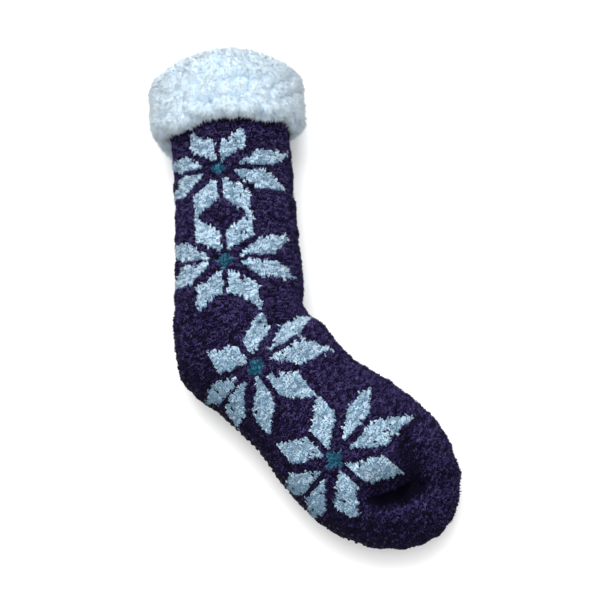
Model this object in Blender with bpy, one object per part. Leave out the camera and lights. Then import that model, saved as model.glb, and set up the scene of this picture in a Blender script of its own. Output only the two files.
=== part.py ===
"""A sherpa-lined slipper sock that lies on its side on a floor.

Two pieces: the knitted sock, which is knitted whole with its sole, and the end of its sherpa lining, which
is turned out over the rim as a deep cuff. Lengths are worked out in millimetres and put into the meshes in
metres, +Z up. Seen from above, the leg runs down from +Y, and the toe points to +X and -Y. The front of the
leg and the instep are on the +X side, the heel and the sole on the -X side.
"""

from collections import namedtuple

import bpy
import numpy as np

METRES = 0.001  # one millimetre

# Driving sizes of the knit
WALL = 3.0  # thickness of the fuzzy knitted wall
RIM_CENTRE = (-58.2, 168.5)  # middle of the rim, seen from above
TOE_START = 330.0  # where the toe begins to close, along the centre line from the rim
TOE_LENGTH = 75.0  # from there to the tip
SQUARENESS = 2.15  # exponent of the rounded cross-section, 2 for an ellipse
WIDEST = 0.46  # height of the widest point, as a share of the thickness
SAG = 1.15  # how far the round underside would reach below the floor that flattens it

# Driving sizes of the cuff
GAP = 0.3  # clearance between lining and knit
HEM = 40.0  # lower edge of the cuff, along the leg from the rim
HEM_ROUND = 11.0  # length of the rounding of that edge
HEM_LOWEST = 0.4  # where in the pile's thickness the hem hangs lowest
ROLL_START = 4.0  # where the roll begins, along the leg
INNER_HEM = 30.0  # end of the modelled lining inside the leg
INNER_PILE = 7.0  # thickness of the lining inside the leg
INNER_ROUND = 6.0  # length of the rounding of its end
CHANNEL_STEP = 14.0  # spacing of the rings that face the knit
LUMP = 1.5  # height of the fleece's clumps
LUMPS_ROUND = 21  # clumps round the cuff
LUMP_LENGTH = 15.0  # clump spacing along the leg
WANDER = 0.8  # how far the rows of clumps wander, in radians of their waves

# Mesh fineness
AROUND = 40  # points round every section of the knit
CUFF_FINER = 2  # the cuff has this many times as many
TOE_RINGS = 10  # rings over the toe, by equal angles
FINE_STEPS = 2000  # steps of the centre line's sum
EARLIEST = -20.0  # the centre line is carried this far above the rim, for the cuff's roll

# A row is a section across the sock. along is its place on the centre line and heading the way that line
# runs there, in degrees from -Y to +X. front and back are the reach from the line to the instep side and to
# the sole side, thick is the height of the section, and lift is the height of its underside over the floor.
Section = namedtuple("Section", "name along heading front back thick lift")
SECTIONS = (
    Section("rim", 0, 4.0, 46.0, 46.0, 60, 13),
    Section("under_hem", 46, 4.0, 46.0, 46.0, 60, 13),
    Section("leg", 84, 4.0, 46.3, 46.3, 63, 3),
    Section("low_leg", 120, 4.0, 47.5, 47.5, 66, 0),
    Section("ankle", 165, 5.0, 49.0, 49.5, 69, 0),
    Section("ankle_crease", 191, 19.0, 46.5, 56.0, 71, 0),
    Section("heel", 206, 26.5, 48.5, 60.0, 71, 0),
    Section("heel_end", 231, 43.0, 53.0, 50.5, 69, 0),
    Section("arch", 262, 46.0, 50.5, 49.0, 66, 0),
    Section("waist", 296, 47.5, 55.0, 54.5, 68, 0),
    Section("ball", 325, 50.0, 57.5, 57.0, 70, 0),
    Section("tip", 405, 61.0, 59.5, 53.5, 60, 0),
)

# A row is a stretch of the knit with evenly spaced rings.
Stretch = namedtuple("Stretch", "name start end rings")
STRETCHES = (
    Stretch("leg", 0, 165, 12),
    Stretch("heel", 165, 240, 9),
    Stretch("foot", 240, TOE_START, 8),
)

# A row is a soft trough on the upper side, from one place seen from above to another.
Fold = namedtuple("Fold", "name x0 y0 x1 y1 depth half_width")
FOLDS = (
    Fold("toe_pocket", 56, -153, 80, -144, 8.0, 8.5),
    Fold("toe_rise", 80, -144, 83, -123, 5.0, 8.0),
    Fold("toe_end", 80, -144, 101, -141, 4.5, 7.0),
)

# A row is the turned-over pile on one side of the leg, at an angle round it in degrees: its thickness, and
# the height of its roll over the rim.
Pile = namedtuple("Pile", "name turn thick roll")
PILES = (
    Pile("front", 0, 12.5, 5.0),
    Pile("upper", 90, 14.5, 17.0),
    Pile("back", 180, 15.5, 4.0),
    Pile("floor", 270, 13.6, 5.0),
)

PURPLE = (0.062, 0.050, 0.125)
FLEECE = (0.80, 0.87, 0.93)


def smooth_curve(at, places, values):
    """A smooth curve through the values at these places that never overshoots them."""
    places = np.asarray(places, float)
    values = np.asarray(values, float)
    steps = np.diff(places)
    slopes = np.diff(values) / steps
    before, after = slopes[:-1], slopes[1:]
    same_way = before * after > 0
    mean = 2 * before * after / np.where(same_way, before + after, 1.0)
    tangents = np.concatenate([[0.0], np.where(same_way, mean, 0.0), [0.0]])
    at = np.clip(at, places[0], places[-1])
    k = np.clip(np.searchsorted(places, at, side="right") - 1, 0, len(steps) - 1)
    t = (at - places[k]) / steps[k]
    start = values[k] * (1 + 2 * t) * (1 - t) ** 2 + tangents[k] * steps[k] * t * (1 - t) ** 2
    end = values[k + 1] * t**2 * (3 - 2 * t) - tangents[k + 1] * steps[k] * t**2 * (1 - t)
    return start + end


def sized(column, along):
    """One column of the section table, at these places along the sock."""
    return smooth_curve(along, [row.along for row in SECTIONS], [getattr(row, column) for row in SECTIONS])


def centre_line(along):
    """The centre line's place seen from above and its heading in radians, by summing its steps."""
    fine = np.linspace(EARLIEST, TOE_START + TOE_LENGTH, FINE_STEPS)
    heading = np.radians(sized("heading", fine))
    step = fine[1] - fine[0]
    places = []
    for start, way in zip(RIM_CENTRE, (np.sin(heading), -np.cos(heading))):
        summed = np.concatenate([[0.0], np.cumsum((way[1:] + way[:-1]) / 2 * step)])
        places.append(start + np.interp(along, fine, summed) - np.interp(0.0, fine, summed))
    return places[0], places[1], np.radians(sized("heading", along))


def rounded(value):
    """A sine or cosine turned into that of the rounded cross-section, with its sign."""
    return np.sign(value) * np.abs(value) ** (2 / SQUARENESS)


def fold_depth(x, y):
    """How deep the folds lie at these places seen from above."""
    deepest = np.zeros(np.shape(x))
    for fold in FOLDS:
        run = np.array([fold.x1 - fold.x0, fold.y1 - fold.y0])
        share = ((x - fold.x0) * run[0] + (y - fold.y0) * run[1]) / (run @ run)
        share = np.clip(share, 0, 1)
        off = np.hypot(x - fold.x0 - share * run[0], y - fold.y0 - share * run[1])
        deepest = np.maximum(deepest, fold.depth * np.exp(-((off / fold.half_width) ** 2)))
    return deepest


def knit_surface(along, turn):
    """Points of the outer face at each along and turn, which runs from the front over the upper side."""
    along = np.asarray(along, float)[:, None]
    turn = np.asarray(turn, float)[None, :]
    x, y, heading = centre_line(along)
    toe = np.clip((along - TOE_START) / TOE_LENGTH, 0, 1)
    closing = np.sqrt(1 - toe**2)
    across = rounded(np.cos(turn))
    reach = np.where(across > 0, sized("front", along), sized("back", along)) * closing * across
    lift = sized("lift", along)
    middle = sized("thick", along) * WIDEST
    above = (sized("thick", along) - middle) * closing
    up = rounded(np.sin(turn))
    height = np.where(up > 0, middle + above * up, middle + middle * SAG * closing * up)
    height = lift + np.maximum(height, 0)
    points = np.stack([x + reach * np.cos(heading), y + reach * np.sin(heading), height + 0 * reach], axis=-1)
    depth = fold_depth(points[..., 0], points[..., 1]) * np.clip(up, 0, 1)
    return points - depth[..., None] * np.array([0.0, 0.0, 1.0])


def outward(along, turn):
    """Unit normals of the knit's outer face, from differences over a small step each way."""
    small_along, small_turn = 0.05, 0.002
    by_turn = knit_surface(along, turn + small_turn) - knit_surface(along, turn - small_turn)
    by_along = knit_surface(along + small_along, turn) - knit_surface(along - small_along, turn)
    normal = np.cross(by_turn, by_along)
    return normal / np.linalg.norm(normal, axis=-1, keepdims=True)


def grid_faces(rows, columns, first=0, flip=False):
    """Four-sided faces of a grid whose columns close into a ring."""
    faces = []
    for i in range(rows - 1):
        for j in range(columns):
            k = (j + 1) % columns
            face = [i * columns + j, i * columns + k, (i + 1) * columns + k, (i + 1) * columns + j]
            faces.append([first + v for v in (face[::-1] if flip else face)])
    return faces


def make_solid(name, points, faces, colour, roughness):
    """One named object of these points in millimetres, shaded smooth, with its own material."""
    mesh = bpy.data.meshes.new(name)
    mesh.from_pydata((np.asarray(points) * METRES).tolist(), [], faces)
    mesh.shade_smooth()
    finish = bpy.data.materials.new(name)
    finish.use_nodes = True
    shader = finish.node_tree.nodes["Principled BSDF"]
    shader.inputs["Base Color"].default_value = (*colour, 1.0)
    shader.inputs["Roughness"].default_value = roughness
    shader.inputs["Metallic"].default_value = 0.0
    mesh.materials.append(finish)
    solid = bpy.data.objects.new(name, mesh)
    bpy.context.scene.collection.objects.link(solid)
    return solid


def knit_stations():
    """Places of the knit's rings: even in each stretch, and by equal angles over the toe."""
    rows = [np.linspace(row.start, row.end, row.rings, endpoint=False) for row in STRETCHES]
    angles = np.linspace(0, np.pi / 2, TOE_RINGS, endpoint=False)
    return np.concatenate([*rows, TOE_START + TOE_LENGTH * np.sin(angles)])


def make_knit_sock():
    """The knitted sock: a hollow wall, open at the rim and closed round the toe."""
    along = knit_stations()
    turn = np.arange(AROUND) * 2 * np.pi / AROUND
    outer = knit_surface(along, turn)
    inner = outer - WALL * outward(along, turn)
    tip = knit_surface([TOE_START + TOE_LENGTH], turn)[0].mean(axis=0)
    *_, tip_heading = centre_line(TOE_START + TOE_LENGTH)
    inner_tip = tip - WALL * np.array([np.sin(tip_heading), -np.cos(tip_heading), 0.0])
    rings = len(along)
    count = rings * AROUND
    points = np.concatenate([outer.reshape(-1, 3), inner.reshape(-1, 3), [tip], [inner_tip]])
    faces = grid_faces(rings, AROUND) + grid_faces(rings, AROUND, first=count, flip=True)
    last = (rings - 1) * AROUND
    for j in range(AROUND):
        k = (j + 1) % AROUND
        faces.append([last + j, last + k, 2 * count])
        faces.append([count + last + k, count + last + j, 2 * count + 1])
        faces.append([k, j, count + j, count + k])
    return make_solid("knit_sock", points, faces, PURPLE, 0.95)


def cuff_profile():
    """The closed profile: arrays of along, share of the roll, base, and shares of outer and inner pile.

    It runs from the hem out and up the outer leg, over the rim, down inside, and back up over the rim with
    the gap to the knit.
    """
    inside = -(WALL + GAP)
    middle = -WALL / 2
    rows = []
    lowest = np.arcsin(HEM_LOWEST / (1 - HEM_LOWEST))
    for a in np.linspace(-lowest, np.pi / 2, 7):
        share = HEM_LOWEST + (1 - HEM_LOWEST) * np.sin(a)
        rows.append((HEM - HEM_ROUND * (1 - np.cos(a)), 0.0, GAP, share, 0.0))
    for along in np.linspace(HEM - HEM_ROUND, ROLL_START, 6)[1:]:
        rows.append((along, 0.0, GAP, 1.0, 0.0))
    for a in np.radians(np.linspace(0, 180, 10)[1:-1]):
        side = np.cos(a)
        edge = GAP if side > 0 else inside
        base = middle + (edge - middle) * abs(side)
        rows.append((ROLL_START * (1 - np.sin(a)), np.sin(a), base, max(side, 0.0), max(-side, 0.0)))
    for along in np.linspace(ROLL_START, INNER_HEM - INNER_ROUND, 4):
        rows.append((along, 0.0, inside, 0.0, 1.0))
    for a in np.radians((45, 90)):
        rows.append((INNER_HEM - INNER_ROUND * (1 - np.sin(a)), 0.0, inside, 0.0, np.cos(a)))
    for along in (CHANNEL_STEP, -GAP):
        rows.append((along, 0.0, inside, 0.0, 0.0))
    for along in (-GAP, CHANNEL_STEP, 2 * CHANNEL_STEP):
        rows.append((along, 0.0, GAP, 0.0, 0.0))
    return (column[:, None] for column in np.array(rows).T)


def round_the_leg(column, turn):
    """One column of the pile table round the leg, by a smooth curve that closes on itself."""
    places = np.array([row.turn for row in PILES])
    values = np.array([getattr(row, column) for row in PILES])
    places = np.concatenate([places - 360, places, places + 360])
    return smooth_curve(np.degrees(turn), places, np.tile(values, 3))


def finer_round(values):
    """Rings with points added on the straight sides between their points, so that they keep the facets."""
    ahead = np.roll(values, -1, axis=1)
    shares = np.arange(CUFF_FINER) / CUFF_FINER
    between = [values * (1 - share) + ahead * share for share in shares]
    return np.stack(between, axis=2).reshape(values.shape[0], -1, values.shape[2])


def clumps(along, turn):
    """The fleece's clumps, from -1 to 1: three waves that cross at even angles, in rows that wander."""
    wave = 2 * np.pi * along / LUMP_LENGTH
    wander = WANDER * (np.sin(3 * turn) + np.sin(5 * turn + 1.0))
    leaning = np.cos(LUMPS_ROUND * turn - wave / 2 + wander)
    crossing = np.cos(LUMPS_ROUND * turn + wave / 2 - wander)
    return (np.cos(wave + wander) + leaning + crossing) / 3


def make_sherpa_cuff():
    """The turned-over end of the lining: a lumpy fleece ring hooked over the rim of the knit."""
    along, roll_share, base, outer_share, inner_share = cuff_profile()
    knit_turn = np.arange(AROUND) * 2 * np.pi / AROUND
    turn = (np.arange(AROUND * CUFF_FINER) * 2 * np.pi / (AROUND * CUFF_FINER))[None, :]
    lumps = LUMP * clumps(along - roll_share * round_the_leg("roll", turn), turn)
    outer_pile = round_the_leg("thick", turn) + lumps
    off = base + outer_share * outer_pile - inner_share * (INNER_PILE + lumps / 2)
    stations = along[:, 0]
    skin = finer_round(knit_surface(stations, knit_turn))
    normal = finer_round(outward(stations, knit_turn))
    heading = np.radians(SECTIONS[0].heading)
    up_the_leg = np.array([-np.sin(heading), np.cos(heading), 0.0])
    rise = (roll_share * (round_the_leg("roll", turn) + lumps))[..., None] * up_the_leg
    points = skin + off[..., None] * normal + rise
    points[..., 2] = np.maximum(points[..., 2], 0)
    rings, columns = points.shape[:2]
    faces = grid_faces(rings, columns, flip=True)
    last = (rings - 1) * columns
    for j in range(columns):
        k = (j + 1) % columns
        faces.append([j, k, last + k, last + j])
    return make_solid("sherpa_cuff", points.reshape(-1, 3), faces, FLEECE, 1.0)


def main():
    """Clears the scene and makes the two pieces."""
    for old in list(bpy.data.objects):
        bpy.data.objects.remove(old)
    make_knit_sock()
    make_sherpa_cuff()


main()
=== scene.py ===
"""Dresses the sherpa-lined slipper sock: fuzzy star knit, fleece cuff and lining, and grip dots on the sole.

Lengths are millimetres until make_piece puts them into a mesh in metres. The sock lies on its side: seen from
above, the leg runs down from +Y and the toe points to +X and -Y. A place on the knit is given by two
parameters: along, measured down the centre line from the rim, and turn, the angle round the section from the
instep side over the upper side to the sole side.
"""

import logging
from dataclasses import dataclass, field, replace
from enum import Enum
from typing import ClassVar, NamedTuple, Sequence

import bpy
import numpy as np
from mathutils import Matrix, Vector


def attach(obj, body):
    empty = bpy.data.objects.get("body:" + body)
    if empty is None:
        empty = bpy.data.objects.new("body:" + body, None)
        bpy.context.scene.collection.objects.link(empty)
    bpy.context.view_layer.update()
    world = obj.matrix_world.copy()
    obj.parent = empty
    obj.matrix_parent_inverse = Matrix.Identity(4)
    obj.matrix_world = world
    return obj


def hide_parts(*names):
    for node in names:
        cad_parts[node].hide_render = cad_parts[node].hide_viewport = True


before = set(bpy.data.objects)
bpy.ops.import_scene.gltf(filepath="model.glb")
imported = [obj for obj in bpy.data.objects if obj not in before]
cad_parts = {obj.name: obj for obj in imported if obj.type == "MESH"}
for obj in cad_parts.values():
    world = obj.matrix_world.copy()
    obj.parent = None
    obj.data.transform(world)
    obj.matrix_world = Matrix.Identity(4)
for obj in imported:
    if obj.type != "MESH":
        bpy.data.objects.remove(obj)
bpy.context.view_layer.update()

METRES = 0.001  # one millimetre
HAIR_FACES = np.array([[0, 1, 3], [1, 2, 3], [2, 0, 3], [2, 1, 0]])  # three foot points, then the tip
HAIR_STRIP = np.array([[-0.0015, 0.0, 0.0015, 0.0]])  # a hair's points across its strip of the map
HAIR_SHIFT = np.array([[-0.01, 0.01, 0.0, 0.0]])  # and how far they are moved along the ramp
MAP_MARGIN = 0.02  # share of the map that stays free at each end of the ramp
BUMP_PLACES = (0.15, 0.85)  # where in its cell a bump's top may lie
BUMP_REACH = 0.6  # square of the distance, in bump widths, at which a bump's height is 0
log = logging.getLogger("sock")


class Yarn(Enum):
    """The three yarns of the knit, by the number that the base mesh carries for each stitch."""

    GROUND = 0
    CENTRE = 1
    PETAL = 2


class Section(NamedTuple):
    """A section across the sock, with its place, heading in degrees, reach, thickness and lift."""

    name: str
    along: float
    heading: float
    front: float
    back: float
    thick: float
    lift: float


class Crease(NamedTuple):
    """A soft trough on the upper side, or a ridge where its depths are negative, seen from above."""

    name: str
    x0: float
    y0: float
    x1: float
    y1: float
    depth: float
    end_depth: float
    half_width: float
    sharpness: float


class Star(NamedTuple):
    """A star on the slack knit: its middle, the height of its courses either way, and how the knit is pulled.

    On the instep side the upper petal across the sock is wide times as long, and the courses below the middle
    are tall times as high. Its sides lie bow courses higher. Strips to the next star have a side and a width
    in wales.
    """

    name: str
    along: float
    course_up: float
    course_down: float
    wide: float
    tall: float
    bow: float
    strips: tuple[tuple[int, float], ...]


class Brush(NamedTuple):
    """The brushed ends of one yarn: hairs on each half stitch, their length and radius, and their colours
    from a foot darkened with painted shade to a paler tip.

    A hair stands for a lock of finer fibres, and is drawn as coarse as it needs to show.
    """

    yarn: Yarn
    each: int
    length: tuple[float, float]
    radius: tuple[float, float]
    foot: str
    middle: str
    tip: str


class Stretch(NamedTuple):
    """A stretch of the sock whose pile is one mesh."""

    name: str
    start: float
    end: float


class Pile(NamedTuple):
    """The turned-over fleece on one side of the leg: its angle, thickness, roll over the rim and drop."""

    name: str
    turn: float
    thick: float
    roll: float
    drop: float


class FleeceRow(NamedTuple):
    """A row of the cuff's profile: its place, its base off the knit, and shares from 0 to 1.

    The shares are those of the roll over the rim, of the outer and the inner pile, of the pile that shows,
    and of the hem's sway that the row follows.
    """

    along: float
    base: float
    roll: float = 0.0
    outer: float = 0.0
    inner: float = 0.0
    shows: float = 1.0
    follows: float = 0.0


class Wave(NamedTuple):
    """A wave round the hem: how many times it goes up and down, its height and its start in radians."""

    times: int
    height: float
    start: float


class Lamp(NamedTuple):
    """A square soft light that faces the sock: its place and its sides' length in metres, and its power."""

    name: str
    place: tuple[float, float, float]
    size: float
    watts: float


def linear(colour: str) -> tuple[float, float, float, float]:
    """Turns an sRGB hex colour into linear values.

    Args:
        colour: six hex digits after a number sign.

    Returns:
        Linear red, green and blue, and 1 for alpha.
    """
    parts = np.array([int(colour[i : i + 2], 16) for i in (1, 3, 5)]) / 255
    values = np.where(parts <= 0.04045, parts / 12.92, ((parts + 0.055) / 1.055) ** 2.4)
    return (*values.tolist(), 1.0)


def add_node(tree: bpy.types.NodeTree, kind: str, links: dict | None = None, **settings) -> bpy.types.Node:
    """Adds a node to a tree.

    Args:
        tree: the node tree.
        kind: the node's type, without its ShaderNode prefix.
        links: for each input, by name or number, the socket or the constant that goes into it.
        settings: the node's own properties.

    Returns:
        The new node.
    """
    node = tree.nodes.new("ShaderNode" + kind)
    for name, value in settings.items():
        setattr(node, name, value)
    for name, value in (links or {}).items():
        if isinstance(value, bpy.types.NodeSocket):
            tree.links.new(value, node.inputs[name])
        else:
            node.inputs[name].default_value = value
    return node


def set_ramp(node: bpy.types.Node, stops: Sequence[tuple[float, str]]) -> bpy.types.NodeSocket:
    """Gives a colour ramp its stops.

    Args:
        node: the ramp.
        stops: places from 0 to 1 with their sRGB hex colours.

    Returns:
        The ramp's colour socket.
    """
    points = node.color_ramp.elements
    while len(points) < len(stops):
        points.new(0.5)
    for point, (place, colour) in zip(points, stops):
        point.position = place
        point.color = linear(colour)
    return node.outputs["Color"]


def new_finish(
    name: str, roughness: float, gloss: float
) -> tuple[bpy.types.Material, bpy.types.NodeTree, bpy.types.Node]:
    """Makes a material and sets its shader's constants.

    Args:
        name: the material's name.
        roughness: the shader's roughness.
        gloss: the shader's specular level.

    Returns:
        The material, its node tree and its shader.
    """
    finish = bpy.data.materials.new(name)
    finish.use_nodes = True
    shader = finish.node_tree.nodes["Principled BSDF"]
    shader.inputs["Roughness"].default_value = roughness
    shader.inputs["Specular IOR Level"].default_value = gloss
    return finish, finish.node_tree, shader


def put_in_scene(name: str, data: bpy.types.ID) -> bpy.types.Object:
    """Puts a mesh, a light or a camera into the scene.

    Args:
        name: the object's name.
        data: what it shows.

    Returns:
        The new object, at the origin.
    """
    thing = bpy.data.objects.new(name, data)
    bpy.context.scene.collection.objects.link(thing)
    return thing


def make_piece(
    name: str,
    points: np.ndarray,
    faces: Sequence[np.ndarray],
    finish: bpy.types.Material,
    facing: np.ndarray | None = None,
) -> bpy.types.Object:
    """Makes one mesh object at the origin that rides on the sock's only body.

    Args:
        name: the piece's name.
        points: its points in millimetres, one row each.
        faces: blocks of faces, each an array with one face a row.
        finish: its material.
        facing: for each point, the unit normal that it is shaded with, or None for the surface's own.

    Returns:
        The new object.
    """
    mesh = bpy.data.meshes.new(name)
    corners = np.concatenate([block.ravel() for block in faces])
    sizes = np.concatenate([np.full(len(block), block.shape[1]) for block in faces])
    mesh.vertices.add(len(points))
    mesh.vertices.foreach_set("co", (points * METRES).ravel())
    mesh.loops.add(len(corners))
    mesh.loops.foreach_set("vertex_index", corners)
    mesh.polygons.add(len(sizes))
    mesh.polygons.foreach_set("loop_start", np.cumsum(sizes) - sizes)
    mesh.polygons.foreach_set("use_smooth", np.full(len(sizes), True))
    mesh.update(calc_edges=True)
    mesh.validate()
    if facing is not None:
        mesh.normals_split_custom_set_from_vertices(facing)
    mesh.materials.append(finish)
    piece = put_in_scene(name, mesh)
    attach(piece, "root")
    log.info("%s: %d points, %d triangles", name, len(points), int((sizes - 2).sum()))
    return piece


def add_value(piece: bpy.types.Object, name: str, values: np.ndarray, domain: str = "POINT") -> None:
    """Adds a number for each point or face of a piece, for its material to read."""
    attribute = piece.data.attributes.new(name, "FLOAT", domain)
    attribute.data.foreach_set("value", values.astype(np.float32).ravel())


def unit(vectors: np.ndarray) -> np.ndarray:
    """Vectors of length 1 along these."""
    return vectors / np.maximum(np.linalg.norm(vectors, axis=-1, keepdims=True), 1e-9)


def hairs(
    roots: np.ndarray, ways: np.ndarray, lengths: np.ndarray, widths: np.ndarray, rng: np.random.Generator
) -> tuple[np.ndarray, np.ndarray]:
    """Pointed three-sided hairs, each a closed shape of four faces.

    A hair's foot is a triangle across its way, turned at random, and its tip lies its length along its way.

    Args:
        roots: middle of each foot.
        ways: unit vectors along the hairs.
        lengths: length of each.
        widths: radius of each foot.
        rng: source of the random turns.

    Returns:
        Points, four to a hair with the tip last, and three-sided faces.
    """
    level = np.abs(ways[:, 2:]) < 0.8
    helper = np.where(level, np.array([[0.0, 0.0, 1.0]]), np.array([[1.0, 0.0, 0.0]]))
    side = unit(np.cross(ways, helper))
    other = np.cross(ways, side)
    turns = rng.uniform(0, 2 * np.pi, (len(roots), 1)) + np.arange(3)[None, :] * 2 * np.pi / 3
    spread = np.cos(turns)[..., None] * side[:, None] + np.sin(turns)[..., None] * other[:, None]
    feet = roots[:, None] + spread * widths[:, None, None]
    tips = (roots + ways * lengths[:, None])[:, None]
    points = np.concatenate([feet, tips], axis=1).reshape(-1, 3)
    faces = (HAIR_FACES[None] + 4 * np.arange(len(roots))[:, None, None]).reshape(-1, 3)
    return points, faces


def make_hairs(
    name: str,
    shapes: tuple[np.ndarray, np.ndarray],
    tone: np.ndarray,
    rise: tuple[float, float],
    facing: np.ndarray,
    finish: bpy.types.Material,
) -> None:
    """Makes a mesh of hairs that carries their tones, and maps each hair along its colour ramp.

    On the map a hair lies in a thin strip of its own. The first coordinate is the tone. The second is the
    strip, and the feet lie a little apart on it, so that every face has some width.

    Args:
        name: the piece's name.
        shapes: the points and faces of the hairs.
        tone: the tone of each hair.
        rise: what is added to it at the foot and at the tip, less at the foot as painted shade.
        facing: the unit normal that each hair is shaded with.
        finish: its material.
    """
    points, faces = shapes
    piece = make_piece(name, points, [faces], finish, np.repeat(facing, 4, axis=0))
    foot, tip = rise
    tones = np.clip(tone[:, None] + np.array([[foot, foot, foot, tip]]), 0, 1)
    add_value(piece, "tone", tones)
    corners = np.empty(len(piece.data.loops), np.int32)
    piece.data.loops.foreach_get("vertex_index", corners)
    strip = np.linspace(MAP_MARGIN / 2, 1 - MAP_MARGIN / 2, len(tones))[:, None] + HAIR_STRIP
    ramp = MAP_MARGIN + (1 - 2 * MAP_MARGIN) * np.clip(tones + HAIR_SHIFT, 0, 1)
    places = np.stack([ramp.ravel(), strip.ravel()], axis=1)[corners]
    piece.data.uv_layers.new(name="OFBake").uv.foreach_set("vector", places.astype(np.float32).ravel())


def band(first: int, second: int, count: int, flip: bool = False) -> np.ndarray:
    """Four-sided faces between two rings of points.

    Args:
        first: number of the first ring's first point.
        second: number of the second ring's first point.
        count: points in each ring.
        flip: whether the faces point the other way.

    Returns:
        One face a row.
    """
    ring = np.arange(count)
    ahead = np.roll(ring, -1)
    faces = np.stack([first + ring, first + ahead, second + ahead, second + ring], axis=1)
    return faces[:, ::-1] if flip else faces


def fan(first: int, tip: int, count: int, flip: bool = False) -> np.ndarray:
    """Three-sided faces between a ring of points and a tip.

    Args:
        first: number of the ring's first point.
        tip: number of the tip.
        count: points in the ring.
        flip: whether the faces point the other way.

    Returns:
        One face a row.
    """
    ring = np.arange(count)
    faces = np.stack([first + ring, first + np.roll(ring, -1), np.full(count, tip)], axis=1)
    return faces[:, ::-1] if flip else faces


def ring_faces(rows: int, columns: int, first: int = 0, flip: bool = False) -> np.ndarray:
    """Four-sided faces of a grid whose rows are rings, from the number of its first point."""
    starts = first + columns * np.arange(rows)
    return np.concatenate([band(a, b, columns, flip) for a, b in zip(starts, starts[1:])])


def bag(outer: np.ndarray, inner: np.ndarray, tips: np.ndarray) -> tuple[np.ndarray, list[np.ndarray]]:
    """A bag with a thick wall: two grids of rings, joined at the mouth and each closed by a tip.

    Args:
        outer: points of the outer face, a ring a row.
        inner: points of the inner face, with as many in a ring.
        tips: the outer and the inner tip.

    Returns:
        Points, and blocks of faces, the outer face's first.
    """
    rows, columns = outer.shape[:2]
    first = rows * columns
    tip = first + len(inner) * columns
    faces = [
        ring_faces(rows, columns),
        fan(first - columns, tip, columns),
        fan(tip - columns, tip + 1, columns, flip=True),
        band(0, first, columns, flip=True),
        ring_faces(len(inner), columns, first, flip=True),
    ]
    return np.concatenate([outer.reshape(-1, 3), inner.reshape(-1, 3), tips]), faces


def smooth_curve(at: np.ndarray, places: Sequence[float], values: Sequence[float]) -> np.ndarray:
    """A smooth curve through values at places that never overshoots them.

    Cubic pieces whose slope at each place is the harmonic mean of the slopes beside it, or 0 where they
    differ in sign and at both ends.

    Args:
        at: where the curve is read.
        places: rising places.
        values: the value at each place.

    Returns:
        The curve at each place of at.
    """
    places = np.asarray(places, float)
    values = np.asarray(values, float)
    steps = np.diff(places)
    slopes = np.diff(values) / steps
    before, after = slopes[:-1], slopes[1:]
    same_way = before * after > 0
    mean = 2 * before * after / np.where(same_way, before + after, 1.0)
    tangents = np.concatenate([[0.0], np.where(same_way, mean, 0.0), [0.0]])
    at = np.clip(at, places[0], places[-1])
    k = np.clip(np.searchsorted(places, at, side="right") - 1, 0, len(steps) - 1)
    t = (at - places[k]) / steps[k]
    start = values[k] * (1 + 2 * t) * (1 - t) ** 2 + tangents[k] * steps[k] * t * (1 - t) ** 2
    end = values[k + 1] * t**2 * (3 - 2 * t) - tangents[k + 1] * steps[k] * t**2 * (1 - t)
    return start + end


def round_bumps(
    u: np.ndarray, v: np.ndarray, size: float, period: float, rng: np.random.Generator
) -> tuple[np.ndarray, np.ndarray, np.ndarray]:
    """Irregular round bumps on a plane that closes on itself along u.

    One bump stands in each cell of a grid, pushed off its middle at random. A point takes the height of the
    nearest bump, 1 at its top and falling with the square of the distance, so that bumps meet in creases.

    Args:
        u: places along the closed direction.
        v: places across it.
        size: about the width of a bump.
        period: length of the closed direction.
        rng: source of the random places.

    Returns:
        Heights up to 1, and how far each place lies from its bump's top along u and v, in bump widths.
    """
    columns = max(3, round(period / size))
    wide = period / columns
    low = np.floor(v.min() / size) - 1
    rows = int(np.ceil(v.max() / size) - low) + 2
    push_u = rng.uniform(*BUMP_PLACES, (rows, columns))
    push_v = rng.uniform(*BUMP_PLACES, (rows, columns))
    i = np.floor(u / wide).astype(int)
    j = (np.floor(v / size) - low).astype(int)
    nearest = np.full(np.broadcast(u, v).shape, np.inf)
    from_u, from_v = np.zeros(nearest.shape), np.zeros(nearest.shape)
    for di in (-1, 0, 1):
        for dj in (-1, 0, 1):
            row = np.clip(j + dj, 0, rows - 1)
            column = (i + di) % columns
            off_u = u / wide - (i + di) - push_u[row, column]
            off_v = v / size - low - (j + dj) - push_v[row, column]
            closer = off_u**2 + off_v**2 < nearest
            nearest = np.where(closer, off_u**2 + off_v**2, nearest)
            from_u, from_v = np.where(closer, off_u, from_u), np.where(closer, off_v, from_v)
    return 1 - nearest / BUMP_REACH, from_u, from_v


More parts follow.
